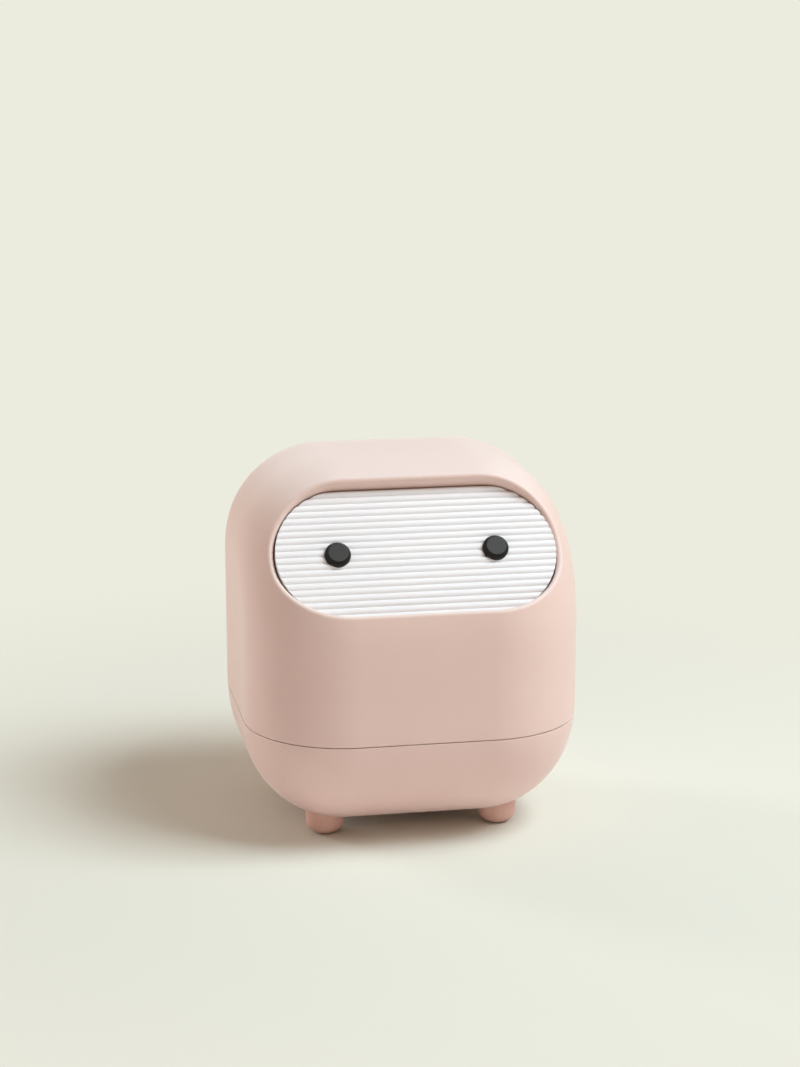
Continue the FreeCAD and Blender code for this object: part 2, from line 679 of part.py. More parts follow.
dress_edges(hinge_rod, "rod_ends", "rod_chamfer", rod_end, "Chamfer")
brackets = []
for side, side_sign in SIDES.items():
    bracket = new_body(f"hinge_bracket_{side}", on_flap=True)
    centre = f"{side_sign} * bracket_place"
    low_x = f"{centre} - bracket_width / 2"
    high_x = f"{centre} + bracket_width / 2"
    block(bracket, f"flange_{side}",
          (f"{centre} - bracket_flange / 2", "boss_rise - boss_diameter / 2", "-bracket_back"),
          (f"{centre} + bracket_flange / 2", "boss_rise + boss_diameter / 2", "-bracket_front"))

    def flange_corner(edge):
        return not near(edge.BoundBox.ZMin, edge.BoundBox.ZMax)

    dress_edges(bracket, f"flange_corners_{side}", "bracket_corner", flange_corner)
    block(bracket, f"neck_{side}", (low_x, "rod_rise", "-bracket_back"),
          (high_x, "boss_rise", "-bracket_front"))
    bar(bracket, f"eye_{side}_boss", (low_x, "rod_rise", "-rod_depth"), "X", "bracket_width",
        "bracket_eye_diameter / 2")
    bore_start = f"{low_x} - overrun" if side_sign > 0 else f"{low_x} + bracket_end_wall"
    bar(bracket, f"rod_bore_{side}", (bore_start, "rod_rise", "-rod_depth"), "X",
        "bracket_width - bracket_end_wall + overrun", "rod_diameter / 2 + rod_clearance", "Subtractive")
    for tag, x in bracket_screw_places:
        if tag.startswith(side):
            bar(bracket, f"screw_hole_{tag}", (x, "boss_rise", "-bracket_back - overrun"), "Z",
                "bracket_thickness + 2 * overrun", "bracket_screw_diameter / 2 + screw_clearance",
                "Subtractive")
    bar(bracket, f"stud_hole_{side}", (centre, "bumper_rise", "-bracket_back - overrun"), "Z",
        "bracket_thickness + 2 * overrun", "bumper_stem / 2 + bumper_stem_clearance", "Subtractive")
    brackets.append(bracket)

# Pan-head screws from behind the brackets into the shell's bosses
bracket_screws = new_body("bracket_screws", on_flap=True)
for tag, x in bracket_screw_places:
    bar(bracket_screws, f"shank_{tag}", (x, "boss_rise", "-bracket_back"), "Z", "bracket_screw_length",
        "bracket_screw_diameter / 2")
    bar(bracket_screws, f"head_{tag}", (x, "boss_rise", "-bracket_back - bracket_screw_head_height"), "Z",
        "bracket_screw_head_height", "bracket_screw_head / 2")
    cross_drive(bracket_screws, f"drive_{tag}", (x, "boss_rise"),
                "-bracket_back - bracket_screw_head_height", -1)

# Soft studs plugged through the brackets, their ends just behind the top of the closed flap
bumpers = []
for side, side_sign in SIDES.items():
    bumper = new_body(f"flap_bumper_{side}", on_flap=True)
    x = f"{side_sign} * bracket_place"
    bar(bumper, f"bumper_{side}_head", (x, "bumper_rise", "-bracket_front"), "Z",
        "bracket_front + bumper_crown", "bumper_diameter / 2")

    def head_top(edge):
        return near(edge.BoundBox.ZMin, number("bumper_crown"))

    dress_edges(bumper, f"bumper_{side}_round", "bumper_rounding", head_top)
    bar(bumper, f"bumper_{side}_stem", (x, "bumper_rise", "-bracket_back"), "Z", "bracket_thickness",
        "bumper_stem / 2")
    cone(bumper, f"bumper_{side}_barb", (x, "bumper_rise", "-bracket_back - bumper_barb_length"), "Z",
         "bumper_barb_length", "bumper_stem / 2", "bumper_barb / 2")
    bumpers.append(bumper)


def tangent_arc(start, heading, end):
    """The arc from a start point, leaving along a heading, to an end point."""
    chord = end - start
    along = FreeCAD.Vector(chord).normalize()
    aside = heading - along * heading.dot(along)
    half_turn = math.atan2(aside.Length, heading.dot(along))
    aside.normalize()
    middle = (start + end) * 0.5 + aside * (chord.Length / 2 * math.tan(half_turn / 2))
    return Part.Arc(start, middle, end)


def biarc(start, start_heading, end, end_heading):
    """Two arcs that join two points with the headings given at both."""
    chord = end - start
    both = start_heading + end_heading
    lack = 2 * (1 - start_heading.dot(end_heading))
    reach = (math.sqrt(chord.dot(both) ** 2 + lack * chord.dot(chord)) - chord.dot(both)) / lack
    joint = (start + start_heading * reach + end - end_heading * reach) * 0.5
    first = tangent_arc(start, start_heading, joint)
    second = tangent_arc(end, end_heading * -1, joint)
    middle = second.value((second.FirstParameter + second.LastParameter) / 2)
    return [first, Part.Arc(joint, middle, end)]


def return_spring(side, side_sign):
    """A torsion spring on the rod: one leg on the back of the flap, one on the end of the collar."""
    wire_radius = number("spring_wire") / 2
    radius = number("spring_diameter") / 2
    pitch = number("spring_pitch")
    leg = number("spring_leg")
    rise = number("rod_rise")
    depth = -number("rod_depth")
    rest_gap = number("spring_rest_gap")
    flap_lift = -number("flap_thickness") - wire_radius - rest_gap - depth
    flap_lean = math.asin(flap_lift / math.hypot(leg, radius)) + math.atan2(radius, leg)
    collar_lift = -number("collar_depth") - wire_radius - rest_gap - depth
    collar_run = (number("relief_radius") + number("collar_radius")) / 2 - rise
    collar_span = math.hypot(collar_lift, collar_run)
    collar_lean = math.atan2(collar_lift, collar_run) + math.asin(radius / collar_span)
    collar_leg = math.sqrt(collar_span ** 2 - radius ** 2)
    first_angle = -math.pi / 2 - flap_lean
    last_angle = -math.pi / 2 + collar_lean + 2 * math.pi * number("spring_turns")
    middle_x = (number("lug_inner_end") + number("lug_outer_start")) / 2
    per_radian = pitch / (2 * math.pi)

    def point(angle):
        x = middle_x + (angle - (first_angle + last_angle) / 2) * per_radian
        up_flap = rise + radius * math.cos(angle)
        out_of_flap = depth + radius * math.sin(angle)
        return FreeCAD.Vector(side_sign * x, up_flap, out_of_flap)

    def heading(angle):
        along = FreeCAD.Vector(side_sign * per_radian, -radius * math.sin(angle), radius * math.cos(angle))
        return along.normalize()

    steps = math.ceil((last_angle - first_angle) / (math.pi / 2))
    angles = [first_angle + (last_angle - first_angle) * i / steps for i in range(steps + 1)]
    flap_tip = point(first_angle) - heading(first_angle) * leg
    collar_tip = point(last_angle) + heading(last_angle) * collar_leg
    curves = [Part.LineSegment(flap_tip, point(first_angle))]
    for before, after in zip(angles, angles[1:]):
        curves += biarc(point(before), heading(before), point(after), heading(after))
    curves.append(Part.LineSegment(point(last_angle), collar_tip))
    path = Part.Wire([curve.toShape() for curve in curves])
    section = Part.Wire([Part.Circle(flap_tip, heading(first_angle), wire_radius).toShape()])
    samples = path.discretize(Distance=wire_radius)
    apart = math.ceil(math.pi * radius / wire_radius)
    gap = min(a.distanceToPoint(b) for i, a in enumerate(samples) for b in samples[i + apart:])
    print(f"return_spring_{side}: least gap to itself {gap - 2 * wire_radius:.2f} mm")
    spring = doc.addObject("Part::Feature", f"return_spring_{side}")
    spring.Shape = path.makePipeShell([section], True, False)
    spring.Placement = flap_placement()
    return spring


springs = [return_spring(side, side_sign) for side, side_sign in SIDES.items()]

# Build everything, check it and write each sub-part
sub_parts = [base_bowl, *feet, foot_screws, inner_bucket, upper_shell, ribbed_flap, *eyes, eye_washers,
             hinge_rod, *brackets, bracket_screws, *springs, *bumpers]
doc.recompute()
for thing in doc.Objects:
    if "Invalid" in thing.State or "Error" in thing.State:
        raise RuntimeError(f"{thing.Label} did not build: {thing.State}")
for sub_part in sub_parts:
    if sub_part.Shape.isNull() or not sub_part.Shape.isValid():
        raise RuntimeError(f"{sub_part.Label} has no valid shape")
os.makedirs("parts", exist_ok=True)
for sub_part in sub_parts:
    sub_part.Shape.exportStep(f"parts/{sub_part.Label}.step")
    solids = len(sub_part.Shape.Solids)
    print(f"{sub_part.Label}: {solids} solid, {sub_part.Shape.Volume / 1000:.2f} cm3")
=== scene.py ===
# %% [markdown]
# A desktop trash can. The imported model brings every solid of the bin in its true place, in metres, with
# the floor at Z = 0 and the mouth towards -Y. This lesson dresses it: a camera, a pale studio, finishes
# for each moulded, rubber and steel piece, and springs wound again round the rod.

# %% Load the imported model
import json
import math

import bmesh
import bpy
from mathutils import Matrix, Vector


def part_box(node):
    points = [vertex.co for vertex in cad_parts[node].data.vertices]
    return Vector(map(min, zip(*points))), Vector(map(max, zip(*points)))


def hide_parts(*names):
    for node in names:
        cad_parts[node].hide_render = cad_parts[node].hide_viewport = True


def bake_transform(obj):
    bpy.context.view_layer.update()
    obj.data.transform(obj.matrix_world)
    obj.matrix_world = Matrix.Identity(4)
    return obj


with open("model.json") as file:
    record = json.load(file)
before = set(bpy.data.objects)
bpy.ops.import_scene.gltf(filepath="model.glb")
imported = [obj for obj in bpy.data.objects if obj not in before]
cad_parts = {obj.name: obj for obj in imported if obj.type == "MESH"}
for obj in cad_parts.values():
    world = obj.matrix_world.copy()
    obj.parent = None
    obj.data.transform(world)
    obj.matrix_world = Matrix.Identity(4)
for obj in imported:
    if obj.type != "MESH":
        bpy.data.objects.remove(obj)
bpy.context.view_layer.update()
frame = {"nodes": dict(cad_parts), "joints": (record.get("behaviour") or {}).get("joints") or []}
nodes = frame["nodes"]
print("pieces in the frame:", len(nodes))

# %% [markdown]
# The flap leans back in the mouth and swings on a rod behind its top edge. The rod's place is read from
# the frame, and the lean is the angle that the part was drawn at. Together they give the way up the
# flap's face and the way straight out of it, so that nothing on the flap has to be fitted by eye.

# %% Read the rod's place and the lean of the flap
swing = next(joint for joint in frame["joints"] if joint["name"] == "flap_swing")
rod = Vector(swing["pos_m"])
lean = math.radians(40.6)
up_flap = Vector((0, math.sin(lean), math.cos(lean)))
out_of_flap = Vector((0, -math.cos(lean), math.sin(lean)))
across = Vector((1, 0, 0))
print("rod at", [round(value, 4) for value in rod], "flap leans", round(math.degrees(lean), 1))

# %% [markdown]
# A long lens from a little above and to the left gives the photograph's view. The place and the turn of
# the camera come from an aim point, an azimuth, an elevation and a distance, which are easier to reason
# about than a bare place and three angles. The small shift only moves the picture's frame.

# %% Set the camera
aim = Vector((0, 0, 0.079))
azimuth = math.radians(-10.54)
elevation = math.radians(15.82)
distance = 1.111
towards_camera = Vector((
    math.sin(azimuth) * math.cos(elevation),
    -math.cos(azimuth) * math.cos(elevation),
    math.sin(elevation),
))
lens = bpy.data.cameras.new("camera")
lens.sensor_width = 36
lens.lens = 87.72
lens.shift_x = 0.00208
lens.shift_y = 0.08696
lens.clip_end = 20
camera = bpy.data.objects.new("camera", lens)
camera.location = aim + towards_camera * distance
camera.rotation_euler = towards_camera.to_track_quat("Z", "Y").to_euler()
bpy.context.scene.collection.objects.link(camera)
bpy.context.scene.camera = camera
print("camera at", [round(value, 3) for value in camera.location])

# %% [markdown]
# Shader nodes are easier to read when one short call makes a node, sets its values and joins it to
# others. A value is written straight onto the socket, and a socket of another node becomes a link.
# Colours are given as the 0 to 255 numbers of a paint chart and turned into the linear numbers that
# light uses.

# %% Small helpers for shader nodes
def paint(red, green, blue):
    def linear(level):
        level /= 255
        return level / 12.92 if level <= 0.04045 else ((level + 0.055) / 1.055) ** 2.4
    return (linear(red), linear(green), linear(blue), 1)


def feed(tree, node, inputs):
    for name, value in inputs.items():
        if isinstance(value, bpy.types.NodeSocket):
            tree.links.new(value, node.inputs[name])
        else:
            node.inputs[name].default_value = value


def add(tree, kind, inputs=None, **settings):
    node = tree.nodes.new(kind)
    for name, value in settings.items():
        setattr(node, name, value)
    feed(tree, node, inputs or {})
    return node


def math_node(tree, operation, *values, clamp=False):
    node = add(tree, "ShaderNodeMath", dict(enumerate(values)), operation=operation, use_clamp=clamp)
    return node.outputs[0]


def mix_colour(tree, factor, first, second):
    node = add(tree, "ShaderNodeMix", data_type="RGBA")
    feed(tree, node, {0: factor, 6: first, 7: second})
    return node.outputs[2]


def spread(tree, value, low, high):
    node = add(tree, "ShaderNodeMapRange", {"Value": value, "To Min": low, "To Max": high})
    return node.outputs["Result"]


def new_group(name, inputs, outputs):
    tree = bpy.data.node_groups.new(name, "ShaderNodeTree")
    for socket_name, kind, default in inputs:
        socket = tree.interface.new_socket(
            socket_name, in_out="INPUT", socket_type=f"NodeSocket{kind}")
        socket.default_value = default
    for socket_name, kind in outputs:
        tree.interface.new_socket(socket_name, in_out="OUTPUT", socket_type=f"NodeSocket{kind}")
    given = tree.nodes.new("NodeGroupInput").outputs
    result = tree.nodes.new("NodeGroupOutput").inputs
    return tree, given, result


def new_finish(name, **constants):
    material = bpy.data.materials.new(name)
    material.use_nodes = True
    tree = material.node_tree
    shader = tree.nodes["Principled BSDF"]
    for socket, value in constants.items():
        shader.inputs[socket.replace("_", " ").title().replace("Ior", "IOR")].default_value = value
    return material, tree, shader


def dress(material, *names):
    for name in names:
        mesh = nodes[name].data
        mesh.materials.clear()
        mesh.materials.append(material)
    print(material.name, "on", ", ".join(names))


print("helpers ready")

# %% [markdown]
# Most of the finishes share the same effects, so each effect is a node group that is built once. The
# first is the skin of a moulded plastic: the mould's fine spark-eroded grain as a height, and a slow
# cloud in tone where the melt flowed and cooled. Noise in the object's own metres keeps both at their
# real size.

# %% Group for the skin of moulded plastic
skin, given, result = new_group(
    "moulded_skin",
    [("Place", "Vector", (0, 0, 0)), ("Grain", "Float", 0.0004)],
    [("Height", "Float"), ("Cloud", "Float")],
)
per_grain = math_node(skin, "DIVIDE", 1.0, given["Grain"])
grain_place = add(skin, "ShaderNodeVectorMath", {"Vector": given["Place"], "Scale": per_grain},
                  operation="SCALE")
grain = add(skin, "ShaderNodeTexNoise", {"Vector": grain_place.outputs[0], "Scale": 1.0, "Detail": 2.0})
cloud = add(skin, "ShaderNodeTexNoise", {"Vector": given["Place"], "Scale": 34.0, "Detail": 3.0})
skin.links.new(grain.outputs["Fac"], result["Height"])
skin.links.new(cloud.outputs["Fac"], result["Cloud"])
print("group", skin.name, "with", len(skin.nodes), "nodes")

# %% [markdown]
# Hands and cloths polish the edges of a moulding first. A bevelled normal differs from the true one
# only near an edge, so the angle between them is a mask of the edges, at a width that is given in
# metres. Noise breaks the mask up, because nothing wears evenly.

# %% Group for rubbed edges
rubbed, given, result = new_group(
    "rubbed_edges",
    [("Place", "Vector", (0, 0, 0)), ("Width", "Float", 0.0006)],
    [("Mask", "Float")],
)
rounded = add(rubbed, "ShaderNodeBevel", {"Radius": given["Width"]}, samples=4)
surface = add(rubbed, "ShaderNodeNewGeometry")
agree = add(rubbed, "ShaderNodeVectorMath", {0: rounded.outputs[0], 1: surface.outputs["Normal"]},
            operation="DOT_PRODUCT")
bent = math_node(rubbed, "SUBTRACT", 1.0, agree.outputs["Value"])
patches = add(rubbed, "ShaderNodeTexNoise", {"Vector": given["Place"], "Scale": 420.0, "Detail": 3.0})
strong = math_node(rubbed, "MULTIPLY", bent, 5.0)
worn = math_node(rubbed, "MULTIPLY", strong, patches.outputs["Fac"], clamp=True)
rubbed.links.new(worn, result["Mask"])
print("group", rubbed.name, "with", len(rubbed.nodes), "nodes")

# %% [markdown]
# Dust settles on what faces up. The mask takes the upward part of the surface's normal and scatters it
# with fine noise, and each finish says how much of it to let show. Laid on heavily, the same pale film is
# a painted highlight that whitens what faces up, as bright light from above would.

# %% Group for settled dust and painted top light
dust_and_top_light_group, given, result = new_group(
    "settled_dust_and_painted_top_light",
    [("Place", "Vector", (0, 0, 0)), ("Amount", "Float", 0.1)],
    [("Mask", "Float")],
)
surface = add(dust_and_top_light_group, "ShaderNodeNewGeometry")
upward = add(dust_and_top_light_group, "ShaderNodeSeparateXYZ", {"Vector": surface.outputs["Normal"]})
flat_top = add(dust_and_top_light_group, "ShaderNodeMapRange",
               {"Value": upward.outputs["Z"], "From Min": 0.45, "From Max": 0.98},
               interpolation_type="SMOOTHSTEP")
specks = add(dust_and_top_light_group, "ShaderNodeTexNoise", {"Vector": given["Place"], "Scale": 1500.0, "Detail": 4.0})
scatter = add(dust_and_top_light_group, "ShaderNodeMapRange",
              {"Value": specks.outputs["Fac"], "From Min": 0.42, "From Max": 0.75})
uneven = spread(dust_and_top_light_group, scatter.outputs["Result"], 0.7, 1.0)
film = math_node(dust_and_top_light_group, "MULTIPLY", flat_top.outputs["Result"], uneven)
dust_and_top_light_group.links.new(math_node(dust_and_top_light_group, "MULTIPLY", film, given["Amount"]), result["Mask"])
print("group", dust_and_top_light_group.name, "with", len(dust_and_top_light_group.nodes), "nodes")

# %% [markdown]
# Drawn wire and turned pins carry fine parallel lines from the tool. Noise that is stretched far more
# one way than another gives such lines, and the stretch says which way they run.

# %% Group for the lines of drawn and turned steel
lines, given, result = new_group(
    "tool_lines",
    [("Place", "Vector", (0, 0, 0)), ("Stretch", "Vector", (1, 1, 1))],
    [("Lines", "Float")],
)
drawn_out = add(lines, "ShaderNodeVectorMath", {0: given["Place"], 1: given["Stretch"]},
                operation="MULTIPLY")
streaks = add(lines, "ShaderNodeTexNoise", {"Vector": drawn_out.outputs[0], "Scale": 1.0, "Detail": 3.0})
lines.links.new(streaks.outputs["Fac"], result["Lines"])
print("group", lines.name, "with", len(lines.nodes), "nodes")

# %% [markdown]
# Every moulded finish joins these groups the same way. Two close tones are mixed by the cloud, the
# rubbed edges show a third, a pale film of dust and painted top light lies over them, and the same
# masks move the roughness. The grain goes through a bump node, so the gloss breaks up as it does on a
# real moulding.

# %% Recipe for a moulded finish
# Pale tint of settled dust, which also serves as the painted highlight on upward faces.
dust_and_top_light_tint = paint(244, 240, 236)
cloud_gloss = 0.04
rubbed_gloss = 0.08
dust_and_top_light_matt = 0.3
grain_depth = 0.0001


def object_place(tree):
    return add(tree, "ShaderNodeTexCoord").outputs["Object"]


def use_group(tree, group, **inputs):
    node = add(tree, "ShaderNodeGroup", node_tree=group)
    feed(tree, node, inputs)
    return node.outputs


def moulded(name, light, deep, edge, rough, grain, bump, dust_and_top_light_amount, edge_width, **constants):
    material, tree, shader = new_finish(name, **constants)
    place = object_place(tree)
    skin_out = use_group(tree, skin, Place=place, Grain=grain)
    worn = use_group(tree, rubbed, Place=place, Width=edge_width)["Mask"]
    # The upward mask is real dust at small amounts and mostly painted top light at large ones.
    dust_and_top_light = use_group(tree, dust_and_top_light_group, Place=place, Amount=dust_and_top_light_amount)["Mask"]
    tone = mix_colour(tree, skin_out["Cloud"], deep, light)
    tone = mix_colour(tree, worn, tone, edge)
    # Upward faces whiten here: dust, plus painted top light where the amount is large.
    tone = mix_colour(tree, dust_and_top_light, tone, dust_and_top_light_tint)
    gloss = spread(tree, skin_out["Cloud"], rough - cloud_gloss, rough + cloud_gloss)
    gloss = math_node(tree, "SUBTRACT", gloss, math_node(tree, "MULTIPLY", worn, rubbed_gloss))
    gloss = math_node(tree, "ADD", gloss, math_node(tree, "MULTIPLY", dust_and_top_light, dust_and_top_light_matt), clamp=True)
    relief = add(tree, "ShaderNodeBump",
                 {"Strength": bump, "Distance": grain_depth, "Height": skin_out["Height"]})
    tree.links.new(tone, shader.inputs["Base Color"])
    tree.links.new(gloss, shader.inputs["Roughness"])
    tree.links.new(relief.outputs["Normal"], shader.inputs["Normal"])
    return material, tree, shader, tone


print("recipe for moulded finishes ready")

# %% [markdown]
# The bowl and the upper shell are one pale pink satin plastic. Where the edges are rubbed, at the seam
# and round the mouth, it is a shade paler. Its sheen is soft and wide, so the roughness is middling and
# the grain is fine. The heavy upward film asked for here is partly dust and mostly a painted highlight
# that whitens the upward faces, as bright light from above would.

# %% Dress the casing
casing, *_ = moulded(
    "casing_plastic", paint(226, 199, 187), paint(221, 193, 181), paint(236, 214, 203),
    # A film this heavy is mostly painted light: the upward faces are painted paler.
    rough=0.46, grain=0.00035, bump=0.12, dust_and_top_light_amount=0.55, edge_width=0.0007,
    sheen_weight=0.23, sheen_roughness=0.3,
)
dress(casing, "upper_shell", "base_bowl")

# %% [markdown]
# The feet are softer, a rubber plug in a deeper pink, matt and scuffed a little where they meet the
# table. The scuff is a mask of the height above the floor.

# %% Dress the feet
feet_rubber, tree, shader, tone = moulded(
    "foot_rubber", paint(218, 180, 164), paint(210, 170, 154), paint(226, 192, 178),
    rough=0.68, grain=0.0005, bump=0.2, dust_and_top_light_amount=0.1, edge_width=0.0006,
)
height = add(tree, "ShaderNodeSeparateXYZ", {"Vector": object_place(tree)}).outputs["Z"]
scuff_height = 0.003
near_floor = add(tree, "ShaderNodeMapRange", {"Value": height, "From Min": scuff_height, "From Max": 0.0})
scuff = math_node(tree, "MULTIPLY", near_floor.outputs["Result"], 0.5)
tree.links.new(mix_colour(tree, scuff, tone, paint(150, 128, 118)), shader.inputs["Base Color"])
dress(feet_rubber, "foot_front_left", "foot_front_right", "foot_rear_left", "foot_rear_right")

# %% [markdown]
# The flap is white with twenty ribs. Light that enters white plastic comes out again nearby, so its
# grooves never go as dark as their shape alone would make them. A paler tone in each groove stands for
# that. The grooves are found from the flap's own measures, the way up its face counted in ribs, so that
# the tone sits in each exactly.

# %% Dress the flap
def measured_along(tree, vector, direction):
    node = add(tree, "ShaderNodeVectorMath", {0: vector, 1: direction}, operation="DOT_PRODUCT")
    return node.outputs["Value"]


rib_pitch = 0.00294
rod_above_middle = 0.02365
rod_behind_face = 0.0079
flap_white, tree, shader, tone = moulded(
    "flap_plastic", paint(242, 240, 239), paint(237, 236, 236), paint(246, 245, 244),
    rough=0.44, grain=0.0003, bump=0.10, dust_and_top_light_amount=0.06, edge_width=0.0005,
)
place = object_place(tree)
up_face = measured_along(tree, place, up_flap)
out_face = measured_along(tree, place, out_of_flap)
above_middle = math_node(tree, "SUBTRACT", up_face, rod.dot(up_flap) - rod_above_middle)
rib = math_node(tree, "FRACT", math_node(tree, "DIVIDE", above_middle, rib_pitch))
across_rib = math_node(tree, "SUBTRACT", math_node(tree, "MULTIPLY", rib, 2.0), 1.0)
from_crest = math_node(tree, "ABSOLUTE", across_rib)
groove = add(tree, "ShaderNodeMapRange", {"Value": from_crest, "From Min": 0.55, "From Max": 1.0},
             interpolation_type="SMOOTHSTEP")
from_face = math_node(tree, "SUBTRACT", out_face, rod.dot(out_of_flap) + rod_behind_face)
on_face = add(tree, "ShaderNodeMapRange", {"Value": from_face, "From Min": -0.0006, "From Max": -0.0001})
in_groove = math_node(tree, "MULTIPLY", groove.outputs["Result"], on_face.outputs["Result"])
glow = math_node(tree, "MULTIPLY", in_groove, 0.8)
tree.links.new(mix_colour(tree, glow, tone, paint(250, 250, 251)), shader.inputs["Base Color"])
dress(flap_white, "ribbed_flap")

# %% [markdown]
# The two eyes are buttons in a near black plastic with a satin face. The bevel and wall round the face
# get a painted shade, a deeper black where they turn from the light. The face is told from the rest by
# the angle of the surface to the flap, read in the button's own space, so that the painted shade turns
# with the flap.

# %% Dress the eyes
eye_black, tree, shader, tone = moulded(
    "eye_plastic", paint(48, 46, 44), paint(42, 40, 38), paint(66, 64, 61),
    rough=0.44, grain=0.0003, bump=0.10, dust_and_top_light_amount=0.04, edge_width=0.0005, specular_ior_level=0.22,
)
facing = measured_along(tree, add(tree, "ShaderNodeTexCoord").outputs["Normal"], out_of_flap)
painted_shade_off_face = add(tree, "ShaderNodeMapRange", {"Value": facing, "From Min": 0.97, "From Max": 0.8})
# The bevel and wall are painted a deeper black: painted shade.
button_tone_with_painted_shade = mix_colour(tree, painted_shade_off_face.outputs["Result"], tone, paint(20, 19, 18))
tree.links.new(button_tone_with_painted_shade, shader.inputs["Base Color"])
dress(eye_black, "eye_left", "eye_right")

# %% [markdown]
# Inside, the liner bucket and the hinge brackets are plain white mouldings. The bucket is thin and
# waxy, with faint upright streaks from being slid in and out, and the brackets are a harder white.

# %% Dress the bucket and the brackets
liner_white, tree, shader, tone = moulded(
    "liner_plastic", paint(233, 230, 224), paint(226, 222, 215), paint(240, 238, 233),
    rough=0.38, grain=0.0004, bump=0.10, dust_and_top_light_amount=0.12, edge_width=0.0006,
)
slid = use_group(tree, lines, Place=object_place(tree), Stretch=(700, 700, 18))["Lines"]
streak = add(tree, "ShaderNodeMapRange",
             {"Value": slid, "From Min": 0.58, "From Max": 0.75, "To Max": 0.35})
streaked = mix_colour(tree, streak.outputs["Result"], tone, paint(214, 210, 203))
tree.links.new(streaked, shader.inputs["Base Color"])
dress(liner_white, "inner_bucket")
bracket_white, *_ = moulded(
    "bracket_plastic", paint(228, 227, 224), paint(220, 219, 215), paint(238, 237, 234),
    rough=0.40, grain=0.0003, bump=0.10, dust_and_top_light_amount=0.10, edge_width=0.0004,
)
dress(bracket_white, "hinge_bracket_left", "hinge_bracket_right")

# %% [markdown]
# The rod, the screws and the washers are zinc plated steel. The tool's lines run round the rod, so the
# noise changes fast along its length and slowly across it, and the lines move both the tone and the
# gloss. The wire of the springs is drawn, so its lines are set the other way.

# %% Dress the steel
def steel_finish(name, bright, dull, stretch, low, high):
    material, tree, shader = new_finish(name, metallic=1.0)
    place = object_place(tree)
    tooled = use_group(tree, lines, Place=place, Stretch=stretch)["Lines"]
    edges = use_group(tree, rubbed, Place=place, Width=0.0003)["Mask"]
    tone = mix_colour(tree, tooled, dull, bright)
    tone = mix_colour(tree, edges, tone, paint(226, 226, 226))
    relief = add(tree, "ShaderNodeBump", {"Strength": 0.15, "Distance": 0.00005, "Height": tooled})
    tree.links.new(tone, shader.inputs["Base Color"])
    tree.links.new(spread(tree, tooled, low, high), shader.inputs["Roughness"])
    tree.links.new(relief.outputs["Normal"], shader.inputs["Normal"])
    return material


zinc = steel_finish(
    "zinc_plated_steel", bright=paint(208, 208, 210), dull=paint(176, 177, 181),
    stretch=(5200, 260, 260), low=0.24, high=0.40,
)
dress(zinc, "hinge_rod", "foot_screws", "bracket_screws", "eye_washers")
spring_wire = steel_finish(
    "spring_wire", bright=paint(196, 196, 198), dull=paint(150, 151, 155),
    stretch=(320, 3400, 3400), low=0.22, high=0.36,
)

# %% [markdown]
# The studs that stop the flap are grey rubber, with no gloss to speak of.

# %% Dress the rubber studs
stud_rubber, *_ = moulded(
    "stud_rubber", paint(150, 149, 147), paint(138, 137, 135), paint(164, 163, 161),
    rough=0.78, grain=0.0003, bump=0.25, dust_and_top_light_amount=0.12, edge_width=0.0003,
)
dress(stud_rubber, "flap_bumper_left", "flap_bumper_right")

# %% [markdown]
# Each return spring is a torsion spring round the rod: six turns, one leg on the back of the flap and
# one on the end of the mouth's collar. It winds up as the flap swings. Here it is made again as one
# smooth tube along the same helix, and the imported spring is hidden. The legs slope a little along the
# rod, as the helix does, so the middle of the turns lies off the middle of the spring's box by their
# drift.

# %% Measures of a return spring
turn_count = 6
steps_per_turn = 40
wire_radius = 0.0004
wire_sides = 12
tip_width = 0.7
tip_reach = 0.3
coil_radius = 0.003
coil_pitch = 0.0013
flap_leg = 0.015
collar_leg = 0.00719
first_angle = math.radians(-117.25)
last_angle = math.radians(-61.46 + turn_count * 360)
per_radian = coil_pitch / math.tau
leg_drift = math.sin(math.atan2(per_radian, coil_radius))
print("spring turns through", round(math.degrees(last_angle - first_angle), 1), "degrees")


# %% Draw the line of the wire
def coil_line(middle, side):
    def point(angle):
        along = middle + side * (angle - (first_angle + last_angle) / 2) * per_radian
        return Vector((along, rod.y, rod.z)) + coil_radius * (
            math.cos(angle) * up_flap + math.sin(angle) * out_of_flap)

    def heading(angle):
        turn = coil_radius * (math.cos(angle) * out_of_flap - math.sin(angle) * up_flap)
        return (turn + side * per_radian * across).normalized()

    steps = steps_per_turn * turn_count
    turns = [point(first_angle + (last_angle - first_angle) * step / steps) for step in range(steps + 1)]
    on_flap = [turns[0] - heading(first_angle) * flap_leg * share for share in (1, 0.75, 0.5, 0.25, 0.05)]
    on_collar = [turns[-1] + heading(last_angle) * collar_leg * share for share in (0.1, 0.4, 0.7, 1)]
    return on_flap + turns + on_collar, turns[0].x, turns[-1].x


print("line of", len(coil_line(0, 1)[0]), "points")

# %% [markdown]
# A curve with a round bevel would also give a tube, but a mesh made here keeps its rings square to the
# wire and its tips softly broken, and it can be blended between two bodies point by point. Each ring
# takes over the last ring's direction, turned only as far as the wire bends, so that the tube never
# twists.

